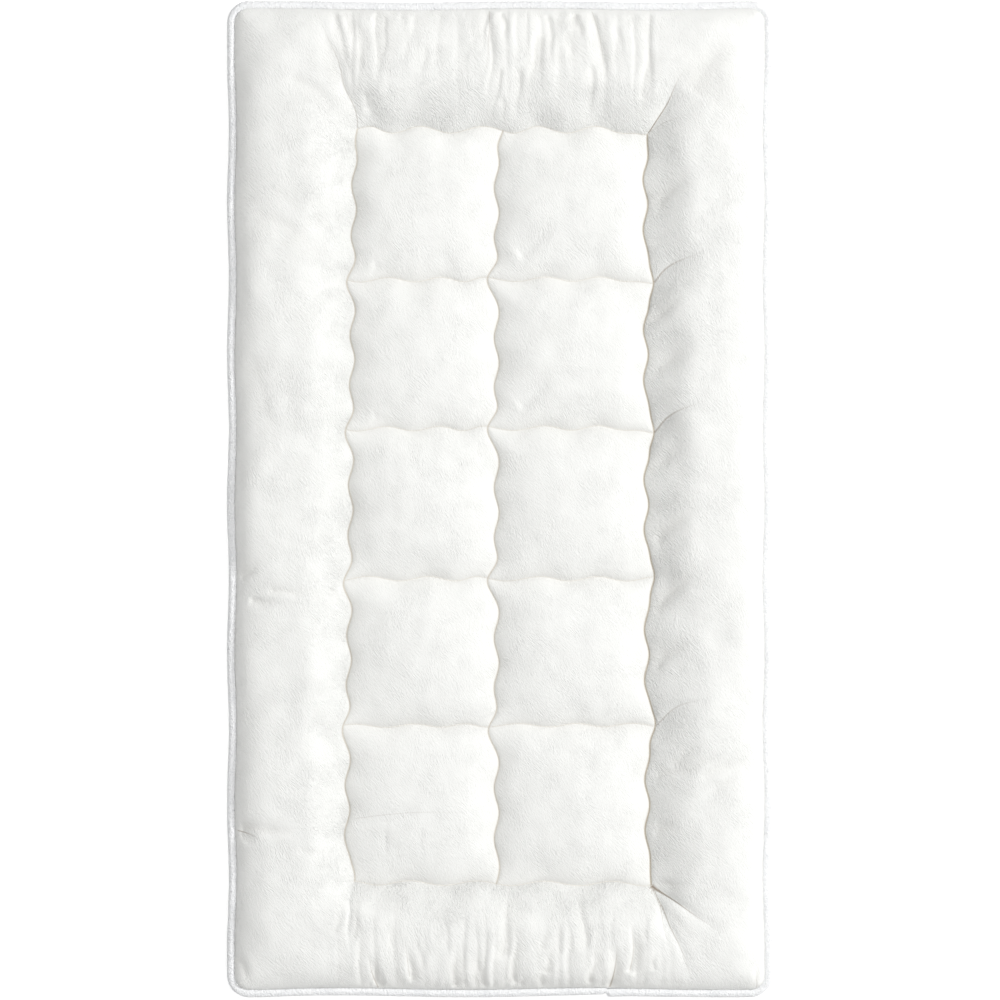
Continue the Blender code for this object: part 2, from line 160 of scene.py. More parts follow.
FOOT_FOLDS = (
    Fold(-0.218, -0.576, -0.203, -0.530, 0.000, 0.006, 0.005),
    Fold(-0.191, -0.584, -0.189, -0.524, 0.000, 0.006, 0.006),
    Fold(-0.158, -0.651, -0.171, -0.604, 0.002, 0.005, 0.012),
    Fold(-0.143, -0.592, -0.150, -0.557, 0.000, 0.005, 0.003),
    Fold(-0.115, -0.640, -0.122, -0.589, 0.000, 0.006, 0.010),
    Fold(-0.101, -0.619, -0.114, -0.563, 0.000, 0.004, 0.004),
    Fold(-0.067, -0.597, -0.074, -0.537, 0.000, 0.005, 0.003),
    Fold(-0.062, -0.648, -0.062, -0.597, 0.000, 0.009, 0.009),
    Fold(-0.018, -0.647, -0.028, -0.597, 0.005, 0.009, 0.009),
    Fold(0.000, -0.606, 0.007, -0.517, -0.005, 0.009, 0.008),
    Fold(0.012, -0.642, 0.023, -0.584, 0.000, 0.006, 0.009),
    Fold(0.028, -0.650, 0.032, -0.629, 0.000, 0.006, 0.009),
    Fold(0.054, -0.649, 0.056, -0.617, 0.000, 0.007, 0.008),
    Fold(0.062, -0.629, 0.070, -0.590, 0.000, 0.006, 0.008),
    Fold(0.055, -0.597, 0.063, -0.557, 0.000, 0.006, 0.005),
    Fold(0.080, -0.602, 0.076, -0.550, 0.000, 0.005, 0.004),
    Fold(0.097, -0.603, 0.085, -0.537, 0.000, 0.004, 0.003),
    Fold(0.113, -0.596, 0.103, -0.512, -0.003, 0.006, 0.008),
    Fold(0.119, -0.644, 0.128, -0.590, 0.000, 0.006, 0.010),
    Fold(0.135, -0.649, 0.137, -0.620, 0.000, 0.005, 0.006),
    Fold(0.146, -0.651, 0.155, -0.594, -0.002, 0.007, 0.015),
    Fold(0.172, -0.629, 0.176, -0.557, -0.003, 0.006, 0.010),
    Fold(0.203, -0.624, 0.205, -0.597, 0.000, 0.005, 0.005),
    Fold(0.193, -0.584, 0.192, -0.549, 0.000, 0.005, 0.003),
    Fold(0.224, -0.543, 0.253, -0.587, 0.000, 0.006, 0.006),
)
SIDE_FOLDS = (
    Fold(0.252, 0.540, 0.300, 0.610, 0.000, 0.028, 0.009),
    Fold(0.206, 0.385, 0.256, 0.432, 0.003, 0.011, 0.009),
    Fold(0.197, 0.232, 0.250, 0.270, 0.002, 0.010, 0.009),
    Fold(0.206, 0.165, 0.252, 0.205, 0.002, 0.010, 0.007),
    Fold(0.197, 0.034, 0.250, 0.072, 0.002, 0.010, 0.009),
    Fold(0.206, -0.060, 0.268, -0.010, 0.004, 0.011, 0.010),
    Fold(0.206, -0.150, 0.262, -0.095, 0.003, 0.011, 0.010),
    Fold(0.206, -0.225, 0.256, -0.185, 0.003, 0.010, 0.009),
    Fold(0.206, -0.370, 0.253, -0.355, 0.000, 0.006, 0.010),
    Fold(0.226, -0.351, 0.273, -0.318, 0.000, 0.010, 0.008),
    Fold(0.240, -0.364, 0.300, -0.337, 0.000, 0.005, 0.007),
    Fold(0.266, -0.367, 0.340, -0.341, 0.000, 0.007, 0.008),
    Fold(0.280, -0.380, 0.335, -0.364, 0.000, 0.005, 0.005),
    Fold(0.206, -0.445, 0.246, -0.430, 0.002, 0.010, 0.009),
    Fold(0.207, -0.511, 0.253, -0.510, 0.000, 0.008, 0.008),
    Fold(0.336, -0.648, 0.345, -0.612, 0.000, 0.005, 0.010),
    Fold(0.227, -0.045, 0.290, -0.053, 0.000, 0.004, 0.003),
    Fold(-0.345, -0.107, -0.316, -0.081, 0.000, 0.010, 0.009),
    Fold(-0.332, -0.134, -0.292, -0.137, 0.000, 0.006, 0.010),
    Fold(-0.308, -0.122, -0.228, -0.128, 0.000, 0.006, 0.008),
    Fold(-0.224, -0.118, -0.208, -0.142, 0.000, 0.006, 0.007),
    Fold(-0.208, -0.142, -0.197, -0.164, 0.000, 0.006, 0.005),
    Fold(-0.345, -0.435, -0.266, -0.443, 0.000, 0.006, 0.011),
    Fold(-0.345, -0.447, -0.321, -0.451, 0.000, 0.008, 0.010),
    Fold(-0.266, -0.464, -0.212, -0.467, 0.000, 0.004, 0.005),
    Fold(-0.349, -0.606, -0.325, -0.650, 0.000, 0.010, 0.009),
    Fold(-0.290, 0.411, -0.277, 0.378, 0.000, 0.012, 0.003),
    Fold(-0.242, 0.378, -0.226, 0.338, 0.000, 0.012, 0.003),
    Fold(-0.349, 0.398, -0.316, 0.395, 0.000, 0.008, 0.003),
    Fold(-0.275, 0.559, -0.203, 0.498, 0.006, 0.012, 0.007),
    Fold(-0.321, 0.379, -0.212, 0.303, 0.008, 0.012, 0.007),
    Fold(-0.330, 0.190, -0.300, 0.020, 0.010, 0.012, 0.004),
)
TILE_FOLDS = (
    Fold(0.026, 0.322, 0.086, 0.367, 0.000, 0.013, 0.007),
    Fold(0.026, 0.122, 0.086, 0.167, 0.000, 0.013, 0.007),
    Fold(-0.168, 0.296, -0.164, 0.322, 0.000, 0.007, 0.007),
    Fold(-0.168, 0.097, -0.164, 0.122, 0.000, 0.007, 0.007),
    Fold(-0.192, -0.432, -0.070, -0.422, 0.006, 0.010, 0.004),
    Fold(-0.150, -0.440, -0.153, -0.485, 0.000, 0.006, 0.003),
    Fold(-0.105, -0.438, -0.104, -0.480, 0.000, 0.006, 0.003),
)
FOLD_DEPTH_SHARE = 0.36
FOLD_POWER = 1.3  # how sharply a trough's two sides turn up from its bottom
STEEP_SIDE = 1.7  # how much faster a fold's steep side falls, and its gentle side
GENTLE_SIDE = 0.75
STEEP_SIDE_CHANCE = 700.0  # picks the steep side of each fold by where it starts
RIDGE_SHARE = 0.15  # the low ridge on each side of a fold: its height, as a share
RIDGE_PLACE = 1.9  # in half widths of the fold
RIDGE_SPREAD = 1.6
FOLD_SWAY = 0.0012
SWAY_TURN = 9.0  # over the fold's length, in radians
SWAY_CHANCE = 500.0  # picks where the sway starts, as the steep side is picked

# Where a fold sets in and dies out, as shares of its length
FOLD_LEAD = 0.05
FOLD_ONSET = 0.12
FOLD_END = 1.10
FOLD_DECLINE = 0.80

# Each tuck is a thin deep crease, mostly from where seams cross, in the even seam plan. depth
# is the share of its rise that the cloth loses there, and shade how dark its line of painted
# shade is, at the bottom of the crease. line is half that line's width, and wedge how much
# wider it is at its start.
Tuck = namedtuple("Tuck", "x y to_x to_y bow half_width depth shade line wedge")
TUCKS = (
    Tuck(0.203, 0.491, 0.240, 0.556, -0.003, 0.009, 0.60, 1.0, 0.0012, 0.0000),
    Tuck(0.203, 0.491, 0.250, 0.511, 0.002, 0.007, 0.12, 0.2, 0.0014, 0.0000),
    Tuck(0.203, 0.292, 0.258, 0.321, 0.006, 0.008, 0.45, 0.6, 0.0017, 0.0006),
    Tuck(0.203, 0.094, 0.258, 0.123, 0.006, 0.008, 0.45, 0.6, 0.0017, 0.0006),
    Tuck(0.203, -0.301, 0.260, -0.268, 0.005, 0.008, 0.35, 0.4, 0.0015, 0.0000),
    Tuck(0.203, -0.507, 0.276, -0.560, -0.002, 0.009, 0.50, 1.0, 0.0011, 0.0044),
    Tuck(0.203, -0.507, 0.252, -0.628, 0.002, 0.007, 0.36, 0.7, 0.0010, 0.0010),
    Tuck(0.203, -0.507, 0.226, -0.600, 0.004, 0.005, 0.30, 0.3, 0.0010, 0.0000),
    Tuck(-0.200, 0.491, -0.240, 0.640, -0.006, 0.007, 0.24, 0.4, 0.0011, 0.0000),
    Tuck(-0.200, -0.507, -0.196, -0.590, 0.000, 0.006, 0.25, 0.0, 0.0010, 0.0000),
    Tuck(-0.349, -0.440, -0.322, -0.447, 0.001, 0.006, 0.25, 0.6, 0.0013, 0.0000),
    Tuck(-0.190, -0.424, -0.040, -0.416, 0.005, 0.006, 0.00, 0.2, 0.0010, 0.0000),
    Tuck(-0.161, -0.651, -0.172, -0.608, 0.002, 0.005, 0.12, 0.5, 0.0010, 0.0008),
    Tuck(-0.119, -0.634, -0.125, -0.585, 0.000, 0.005, 0.12, 0.3, 0.0010, 0.0000),
    Tuck(0.146, -0.651, 0.155, -0.596, -0.002, 0.006, 0.14, 0.7, 0.0012, 0.0010),
    Tuck(0.172, -0.627, 0.178, -0.560, -0.003, 0.005, 0.12, 0.4, 0.0011, 0.0000),
    Tuck(0.343, -0.651, 0.340, -0.630, 0.000, 0.004, 0.12, 0.5, 0.0008, 0.0000),
    Tuck(-0.014, 0.649, -0.021, 0.560, 0.003, 0.005, 0.10, 0.3, 0.0010, 0.0000),
    Tuck(0.122, 0.649, 0.138, 0.556, 0.004, 0.005, 0.10, 0.3, 0.0010, 0.0000),
)
TUCK_FADE = 0.80  # the share of its length after which a tuck dies out
WEDGE_LENGTH = 0.010
FAINTEST_LINE = 0.01
NO_LINE = 100.0  # stands for a point far from every tuck's line

# Pleats where each end is eased into the piping, from one x to another: short deep ones,
# and long faint ones. Each varies by chance between shares of its kind's sizes.
Pleats = namedtuple("Pleats", "x to_x pitch length half_width depth")
PLEAT_GAPS = (0.6, 1.4)
PLEAT_LENGTHS = (0.6, 1.4)
PLEAT_WIDTHS = (0.7, 1.3)
PLEAT_DEPTHS = (0.1, 1.5)
PLEAT_LEAN = 0.004  # how far aside its far end may lie
FOOT_SEED = 4
HEAD_SEED = 14
FOOT_PLEATS = (
    Pleats(-0.190, 0.272, 0.0165, 0.021, 0.0040, 0.0044),
    Pleats(-0.215, 0.235, 0.0150, 0.105, 0.0060, 0.0042),
)
HEAD_PLEATS = (
    Pleats(-0.215, 0.180, 0.0240, 0.016, 0.0042, 0.0030),
    Pleats(-0.235, 0.215, 0.0160, 0.130, 0.0065, 0.0044),
)


def smooth(t):
    t = np.clip(t, 0.0, 1.0)
    return t * t * (3 - 2 * t)


def wander(wave, along, crossings):
    """How far a seam strays aside at places along it."""
    turn = 2 * np.pi * (along - wave.phase) / wave.pitch
    aside = wave.shift + wave.lean * along + wave.rise * np.cos(turn)
    pulls = (wave.first_pull, *[wave.pull] * (len(crossings) - 2), wave.last_pull)
    for spot, pull in zip(crossings, pulls):
        aside += pull * np.exp(-(((along - spot) / PULL_REACH) ** 2))
    return aside


def sewn_place(x, y):
    """Moves points of the even seam plan to where the wandering seams carry them."""
    inside_y = smooth((HALF_LENGTH - abs(y)) / CALM_ENDS)
    inside_x = smooth((HALF_WIDTH - abs(x)) / CALM_SIDES)
    dx, dy = np.zeros_like(x), np.zeros_like(y)
    for seam, wave in zip(LONG_SEAMS, LONG_WAVES):
        near = np.exp(-(((x - seam) / WAVE_REACH) ** 2))
        dx += near * inside_y * wander(wave, y, CROSS_SEAMS)
    for seam, wave in zip(CROSS_SEAMS, CROSS_WAVES):
        near = np.exp(-(((y - seam) / WAVE_REACH) ** 2))
        dy += near * inside_x * wander(wave, x, LONG_SEAMS)
    return x + dx, y + dy


def rounded(x, y):
    """Turns the square corners of the seam plan into quarter circles."""
    a = np.clip((abs(x) - (HALF_WIDTH - PAD_RADIUS)) / PAD_RADIUS, 0.0, None)
    b = np.clip((abs(y) - (HALF_LENGTH - PAD_RADIUS)) / PAD_RADIUS, 0.0, None)
    shrink_x = PAD_RADIUS * a * (1 - np.sqrt(1 - b * b / 2))
    shrink_y = PAD_RADIUS * b * (1 - np.sqrt(1 - a * a / 2))
    return x - np.copysign(shrink_x, x), y - np.copysign(shrink_y, y)


def drawn_in(x, y):
    """The outline's dips, full at the edge and none at the border's inner seam."""
    side = smooth((abs(x) - LONG_SEAMS[-1]) / (HALF_WIDTH - LONG_SEAMS[-1]))
    end = smooth((abs(y) - CROSS_SEAMS[-1]) / (HALF_LENGTH - CROSS_SEAMS[-1]))
    free_y = smooth((HALF_LENGTH - abs(y)) / STRAIGHT_CORNER)
    free_x = smooth((HALF_WIDTH - abs(x)) / STRAIGHT_CORNER)
    wave_y = 0.5 + 0.5 * np.cos(2 * np.pi * (y - CROSS_SEAMS[3]) / SIDE_DIP_PITCH)
    along_end = x + np.copysign(END_DIP_PHASE, y)
    wave_x = 0.5 + 0.5 * np.cos(2 * np.pi * along_end / END_DIP_PITCH)
    dx = SIDE_DIP * wave_y * side * free_y
    dy = END_DIP * wave_x * end * free_x
    return x - np.copysign(dx, x), y - np.copysign(dy, y)


def face_place(x, y):
    return drawn_in(*rounded(*sewn_place(x, y)))


def dome(t):
    """Nought at t = 0 and 1, and one half way between them."""
    t = np.clip(t, 0.0, 1.0)
    return 4 * t * (1 - t)


def even_then_easing(t):
    """A rise from nought to one, straight at first and then rounding smoothly to level."""
    t = np.clip(t, 0.0, 1.0)
    eased = np.clip((t - EVEN_SHARE) / (1 - EVEN_SHARE), 0.0, 1.0)
    rise = np.minimum(t, EVEN_SHARE) + (1 - EVEN_SHARE) * (eased - eased**3 + eased**4 / 2)
    return rise / (EVEN_SHARE + (1 - EVEN_SHARE) / 2)


def past_inner_seam(x, y):
    """How far points lie outside the rectangle of the border's inner seam."""
    past_x = np.maximum(np.maximum(LONG_SEAMS[0] - x, x - LONG_SEAMS[-1]), 0.0)
    past_y = np.maximum(np.maximum(CROSS_SEAMS[0] - y, y - CROSS_SEAMS[-1]), 0.0)
    return np.hypot(past_x, past_y)


def edge_distance(x, y):
    """How far points lie from the outline, with its corners rounded more further in."""
    from_side = np.maximum(HALF_WIDTH - abs(x), 1e-7)
    from_end = np.maximum(HALF_LENGTH - abs(y), 1e-7)
    return (from_side**-4.0 + from_end**-4.0) ** -0.25


def swelling(seams, value):
    """How far a tile has risen, steepest right beside the seams on both its sides."""
    width, share = np.ones_like(value), np.zeros_like(value)
    for low, high in zip(seams, seams[1:]):
        inside = (value >= low) & (value <= high)
        width[inside] = high - low
        share[inside] = (value[inside] - low) / (high - low)
    reach = TILE_EASE / width
    rise = (1 - np.exp(-share / reach)) * (1 - np.exp((share - 1) / reach))
    return rise / (1 - np.exp(-0.5 / reach)) ** 2


def seam_distance(x, y):
    """How far points of the seam plan lie from the nearest quilting seam."""
    near_x = np.min([abs(x - seam) for seam in LONG_SEAMS], axis=0)
    near_y = np.min([abs(y - seam) for seam in CROSS_SEAMS], axis=0)
    past = past_inner_seam(x, y)
    return np.where(past > 0, past, np.minimum(near_x, near_y))


def lumpiness(x, y, lumps):
    """How far the lumps of one kind lift, or sink, the cloth at points."""
    spots = np.stack([x, y, np.full_like(x, lumps.layer)], axis=-1).reshape(-1, 3) / lumps.size
    return lumps.rise * np.array([noise.noise(Vector(s)) for s in spots]).reshape(x.shape)


def pleat_folds(pleats, edge, seed):
    """One kind of pleat at one end, unevenly spaced, as folds that start at the piping."""
    chance = np.random.default_rng(seed)
    inwards = -math.copysign(1, edge)
    folds = []
    x = pleats.x
    while x < pleats.to_x:
        length = pleats.length * chance.uniform(*PLEAT_LENGTHS)
        lean = chance.uniform(-PLEAT_LEAN, PLEAT_LEAN)
        half_width = pleats.half_width * chance.uniform(*PLEAT_WIDTHS)
        depth = pleats.depth * chance.uniform(*PLEAT_DEPTHS)
        end = edge + inwards * length
        folds.append(Fold(x, edge, x + lean, end, 0.0, half_width, depth))
        x += pleats.pitch * chance.uniform(*PLEAT_GAPS)
    return folds


def fold_place(fold, x, y):
    """How far along a fold points lie, as a share, and how far to its left in metres."""
    run_x, run_y = fold.to_x - fold.x, fold.to_y - fold.y
    length = math.hypot(run_x, run_y)
    along = ((x - fold.x) * run_x + (y - fold.y) * run_y) / length**2
    aside = ((y - fold.y) * run_x - (x - fold.x) * run_y) / length
    return along, aside - fold.bow * dome(along)


def fold_shape(fold, x, y):
    """A fold's lift, a trough with a low ridge each side, and its closeness, 0 to 1."""
    along, aside = fold_place(fold, x, y)
    aside += FOLD_SWAY * np.sin(SWAY_TURN * along + SWAY_CHANCE * fold.x)
    leaning = math.copysign(1, math.sin(STEEP_SIDE_CHANCE * fold.x))
    off = abs(aside) / fold.half_width * np.where(aside * leaning > 0, STEEP_SIDE, GENTLE_SIDE)
    fade = smooth((along + FOLD_LEAD) / FOLD_ONSET) * smooth((FOLD_END - along) / FOLD_DECLINE)
    trough = fade * np.exp(-(off**FOLD_POWER))
    ridge = fade * RIDGE_SHARE * np.exp(-((off - RIDGE_PLACE) ** 2) / RIDGE_SPREAD)
    return FOLD_DEPTH_SHARE * fold.depth * (ridge - trough), trough


def tucked(tucks, x, y):
    """What the tucks do to the face, each as a number for every point.

    These are the share of its rise that the cloth loses there, how far aside of the nearest
    line the point lies, as a share of that line's half width, and how dark the painted shade
    of that line is. Every second tuck counts to its right, so two that fan out from one place
    agree between them.
    """
    lost, line_aside, line_painted_shade = np.zeros_like(x), np.full_like(x, NO_LINE), np.zeros_like(x)
    for number, tuck in enumerate(tucks):
        along, aside = fold_place(tuck, x, y)
        along = np.maximum(along, 0.0)
        fade = np.where(along > 0, np.exp(-((along / TUCK_FADE) ** 3)), 0.0)
        kept = 1 - tuck.depth * fade * np.exp(-abs(aside) / tuck.half_width)
        lost = 1 - (1 - lost) * kept
        gone = along * math.hypot(tuck.to_x - tuck.x, tuck.to_y - tuck.y)
        aside /= tuck.line + tuck.wedge * np.exp(-gone / WEDGE_LENGTH)
        shade = tuck.shade * fade
        nearest = (shade > FAINTEST_LINE) & (abs(aside) < abs(line_aside))
        line_aside = np.where(nearest, aside if number % 2 else -aside, line_aside)
        line_painted_shade = np.where(nearest, shade, line_painted_shade)
    return lost, line_aside, line_painted_shade


# Painted shade in the colour of the folds' troughs, and of the tiles beside their seams
FULL_PAINTED_SHADE_DEPTH = 0.030  # a fold this deep is shaded in full
MARGIN_PAINTED_SHADE = 0.40  # how far a tile is shaded like a fold beside its seams
MARGIN_REACH = 0.008


def face_shape(x, y):
    """The plush face's height over the floor, and each point's painted shade as a fold."""
    past = past_inner_seam(x, y)
    share = np.where(past > 0, past / (past + edge_distance(x, y) + 1e-9), 0.0)
    lumps = lumpiness(x, y, BROAD_LUMPS)
    fine = sum(lumpiness(x, y, kind) for kind in FINE_LUMPS)
    lip = LIP * (1 - np.exp(-seam_distance(x, y) / LIP_REACH))
    place_x, place_y = sewn_place(x, y)

    swell = swelling(LONG_SEAMS, x) * swelling(CROSS_SEAMS, y)
    tiles = SEAM_HEIGHT + lip + (TILE_HEIGHT - SEAM_HEIGHT - LIP + lumps) * swell
    tile_lift = sum(fold_shape(fold, place_x, place_y)[0] for fold in TILE_FOLDS)
    tiles += fine * smooth(TILE_EASE_IN * swell)
    tiles += tile_lift * smooth(TILE_EASE_IN * swell)

    edge = EDGE_HEIGHT + EDGE_THICKNESS / 2
    inner_flank = INNER_FLANK * (1 + lumpiness(x, y, INNER_FLANK_LUMPS))
    inner = even_then_easing(share / inner_flank)
    outer_flank = OUTER_FLANK * (1 + lumpiness(x, y, OUTER_FLANK_LUMPS))
    outer = np.clip((1 - share) / outer_flank, 0, 1)
    outer = 1 - (1 - outer) ** 3
    roll = SEAM_HEIGHT + lip + (ROLL_HEIGHT - SEAM_HEIGHT - LIP) * inner
    at_head = smooth((y - CROSS_SEAMS[-1]) / (HALF_LENGTH - CROSS_SEAMS[-1]))
    edge_lip = EDGE_LIP * (1 - (1 - HEAD_LIP_SHARE) * at_head)
    roll -= (ROLL_HEIGHT - edge - edge_lip) * (1 - outer)
    roll -= edge_lip * np.exp(-edge_distance(x, y) / EDGE_LIP_REACH)
    puff = inner * outer
    roll += (ROLL_LUMPS * lumps + fine) * puff

    folds = [*HEAD_FOLDS, *FOOT_FOLDS, *SIDE_FOLDS]
    for kind, (foot, head) in enumerate(zip(FOOT_PLEATS, HEAD_PLEATS)):
        folds += pleat_folds(foot, -HALF_LENGTH, FOOT_SEED + kind)
        folds += pleat_folds(head, HALF_LENGTH, HEAD_SEED + kind)
    # depth gathers the painted shade that the folds' troughs get
    lift, depth = np.zeros_like(x), np.zeros_like(x)
    for fold in folds:
        fold_lift, fold_trough = fold_shape(fold, place_x, place_y)
        lift += fold_lift
        depth += fold_trough * fold.depth / FULL_PAINTED_SHADE_DEPTH
    folded = roll + lift * smooth(ROLL_EASE_IN * puff)
    folded -= (folded - SEAM_HEIGHT) * tucked(TUCKS, x, y)[0]
    folded = np.maximum(folded, LOWEST_FOLD)
    # Beside their seams the tiles get painted shade, as a fold's trough does
    painted_margin_shade = MARGIN_PAINTED_SHADE * np.exp(-seam_distance(x, y) / MARGIN_REACH)
    depth = np.where(past > 0, np.clip(depth, 0.0, 1.0), painted_margin_shade)
    return np.where(past > 0, folded, tiles), depth


def underside_height(x, y):
    """Flat on the floor, with shallow sewn channels, lifting to the piping at the edge."""
    outer = edge_distance(x, y)
    lift = 1 - np.clip(outer / UNDERSIDE_ROUNDING, 0.0, 1.0)
    edge = EDGE_HEIGHT - EDGE_THICKNESS / 2
    height = edge * (1 - np.sqrt(1 - lift * lift))
    channel = CHANNEL_DEPTH * (1 - smooth(seam_distance(x, y) / CHANNEL_REACH))
    return height + channel


def spread(seams, half, steps):
    """Grid lines from edge to edge through every seam, closer together beside them."""
    stops = (-half, *seams, half)
    lines = [stops[0]]
    for place, (start, end) in enumerate(zip(stops, stops[1:])):
        border = place in (0, len(stops) - 2)
        count = steps.border if border else steps.tile
        ease = steps.border_ease if border else steps.tile_ease
        for step in range(1, count + 1):
            share = step / count
            share -= ease * math.sin(2 * math.pi * share) / (2 * math.pi)
            lines.append(start + (end - start) * share)
    return np.array(lines)


def grid_faces(rows, columns, first=0, upwards=True):
    """The quads of a grid of points that are numbered row by row."""
    corner = first + np.arange((rows - 1) * columns).reshape(rows - 1, columns)[:, :-1]
    corner = corner.ravel()
    quads = np.stack([corner, corner + 1, corner + columns + 1, corner + columns], axis=1)
    return (quads if upwards else quads[:, ::-1]).tolist()


def ring_of(rows, columns, first=0):
    """The border points of such a grid, once round from its first point."""
    numbers = first + np.arange(rows * columns).reshape(rows, columns)
    return [
        *numbers[0, :-1],
        *numbers[:-1, -1],
        *numbers[-1, :0:-1],
        *numbers[:0:-1, 0],
    ]


columns = spread(LONG_SEAMS, HALF_WIDTH, FACE_COLUMNS)
rows = spread(CROSS_SEAMS, HALF_LENGTH, FACE_ROWS)
plan_x, plan_y = np.meshgrid(columns, rows)
face_z, fold_painted_shade = face_shape(plan_x, plan_y)
face_points = np.stack([*face_place(plan_x, plan_y), face_z], axis=-1).reshape(-1, 3)

every = FACE_STEPS_PER_UNDERSIDE_STEP
under_x, under_y = plan_x[::every, ::every], plan_y[::every, ::every]
under_z = underside_height(under_x, under_y)
under_points = np.stack([*face_place(under_x, under_y), under_z], axis=-1).reshape(-1, 3)

face_ring = ring_of(*plan_x.shape)
under_ring = ring_of(*under_x.shape, first=len(face_points))
side_faces = []
for step in range(len(under_ring)):
    above = [face_ring[(step * every + k) % len(face_ring)] for k in range(every + 1)]
    below = [under_ring[step], under_ring[(step + 1) % len(under_ring)]]
    side_faces.append([int(n) for n in (*below, *reversed(above))])

pad_mesh = bpy.data.meshes.new("quilted_pad")
pad_mesh.from_pydata(
    [*face_points.tolist(), *under_points.tolist()],
    [],
    grid_faces(*plan_x.shape)
    + grid_faces(*under_x.shape, first=len(face_points), upwards=False)
    + side_faces,
)
pad_mesh.shade_smooth()


def point_values(mesh, name, face_values, under_value):
    """Keeps one number for each point: those of the face, and one for the underside."""
    values = np.full(len(mesh.vertices), under_value, dtype=np.float32)
    values[: face_values.size] = face_values.ravel()
    mesh.attributes.new(name, "FLOAT", "POINT").data.foreach_set("value", values)


# Two patterns that follow the seams: their dark line, which is painted shade in the seam's
# crease, in shares of the right-hand seam's, which lies deepest in shadow; and the pile,
# which stands up more on the border's inner slope
SEAM_LINE_WIDTH = 0.0010
LEFT_SEAM_SHARE = 0.60  # for the left and the middle long seam
CROSS_SEAM_SHARE = 0.15
FLANK_PILE = 1.8
FLANK_PILE_REACH = 0.040

to_long_seam = np.min([abs(plan_x - seam) for seam in LONG_SEAMS], axis=0)
along_cross_seam = to_long_seam > seam_distance(plan_x, plan_y) + 1e-6
seam_painted_shade = np.exp(-((seam_distance(plan_x, plan_y) / SEAM_LINE_WIDTH) ** 2))
long_seam_shade_share = np.where(plan_x > LONG_SEAMS[-1] - TILE_EASE, 1.0, LEFT_SEAM_SHARE)
seam_painted_shade *= np.where(along_cross_seam, CROSS_SEAM_SHARE, long_seam_shade_share)
past = past_inner_seam(plan_x, plan_y)
inner_flank = np.where(past > 0, np.exp(-past / FLANK_PILE_REACH), 0.0)
_, tuck_aside, tuck_painted_shade = tucked(TUCKS, plan_x, plan_y)
point_values(pad_mesh, "seam", seam_painted_shade, 0.0)
point_values(pad_mesh, "fold", fold_painted_shade, 0.0)
point_values(pad_mesh, "tuck_aside", tuck_aside, NO_LINE)
point_values(pad_mesh, "tuck_painted_shade", tuck_painted_shade, 0.0)
point_values(pad_mesh, "pile", 1 + FLANK_PILE * inner_flank, 0.0)

PLUSH_WHITE = (0.865, 0.868, 0.847, 1.0)
PLUSH_LEANING_AWAY = (0.838, 0.841, 0.820, 1.0)
# Painted shade: the seams' crease, the tucks' lines and the folds' troughs
SEAM_PAINTED_SHADE = (0.410, 0.340, 0.240, 1.0)
TUCK_PAINTED_SHADE = (0.300, 0.240, 0.180, 1.0)
FOLD_PAINTED_SHADE = (0.760, 0.750, 0.715, 1.0)

# The pile's strokes: the way they lie, and the length and width of one
Strokes = namedtuple("Strokes", "degrees length width")
MAIN_STROKES = Strokes(-46, 0.0070, 0.0016)
OTHER_STROKES = Strokes(-68, 0.0060, 0.0015)
PILE_CRINKLE = 0.5
PILE_HEIGHT = 0.0014
PILE_STRENGTH = 0.8
SWIRL_SIZE = 0.0625  # the strokes bend aside in swirls this wide, by up to SWIRL_REACH
SWIRL_REACH = 0.012
FUZZ_SIZE = 0.0011  # the fine fuzz over the strokes, and its height as a share of theirs
FUZZ_SHARE = 0.35
FLAT_PILE = 0.6  # how high the strokes stand where the pile lies flat, as a share
RUFFLED_PILE = 0.7  # how much higher where it is ruffled

# Soft patches: how wide they are, how frayed, and the noise values where they start and end
Patches = namedtuple("Patches", "size detail start end")
STROKE_PATCHES = Patches(0.040, 2.0, 0.44, 0.56)
RUFFLED_PATCHES = Patches(0.035, 2.0, 0.38, 0.62)
LEANING_PATCHES = Patches(0.028, 3.0, 0.35, 0.65)

CLOTH_SPECULAR = 0.15
SHEEN_ROUGHNESS = 0.45


def add_node(tree, kind, inputs=(), **settings):
    """Adds a node. inputs pairs the name or place of an input with a value or an output."""
    made = tree.nodes.new(kind)
    for name, value in settings.items():
        setattr(made, name, value)
    for name, value in inputs:
        if isinstance(value, bpy.types.NodeSocket):
            tree.links.new(value, made.inputs[name])
        else:
            made.inputs[name].default_value = value
    return made


def maths(tree, operation, *values):
    return add_node(
        tree, "ShaderNodeMath", list(enumerate(values)), operation=operation
    ).outputs["Value"]


def mottle(tree, place, size, detail=2.0, output="Fac"):
    """Noise whose lumps are about as wide as size, from nought to one."""
    inputs = [("Vector", place), ("Scale", 1 / size), ("Detail", detail)]
    return add_node(tree, "ShaderNodeTexNoise", inputs).outputs[output]


def steepened(tree, value, low, high):
    """Nought up to low and one from high on, with an even rise between them."""
    inputs = [("Value", value), ("From Min", low), ("From Max", high)]
    return add_node(tree, "ShaderNodeMapRange", inputs).outputs["Result"]


def patchy(tree, place, patches):
    """One inside soft patches, and nought between them."""
    noise_value = mottle(tree, place, patches.size, patches.detail)
    return steepened(tree, noise_value, patches.start, patches.end)


def between(tree, share, first, second):
    """A mix of two numbers."""
    inputs = [(0, share), (2, first), (3, second)]
    return add_node(tree, "ShaderNodeMix", inputs, data_type="FLOAT").outputs[0]


def tinted(tree, share, first, second):
    """A mix of two colours."""
    inputs = [(0, share), (6, first), (7, second)]
    return add_node(tree, "ShaderNodeMix", inputs, data_type="RGBA").outputs[2]


def surface_value(tree, name):
    return add_node(tree, "ShaderNodeAttribute", attribute_name=name).outputs["Fac"]


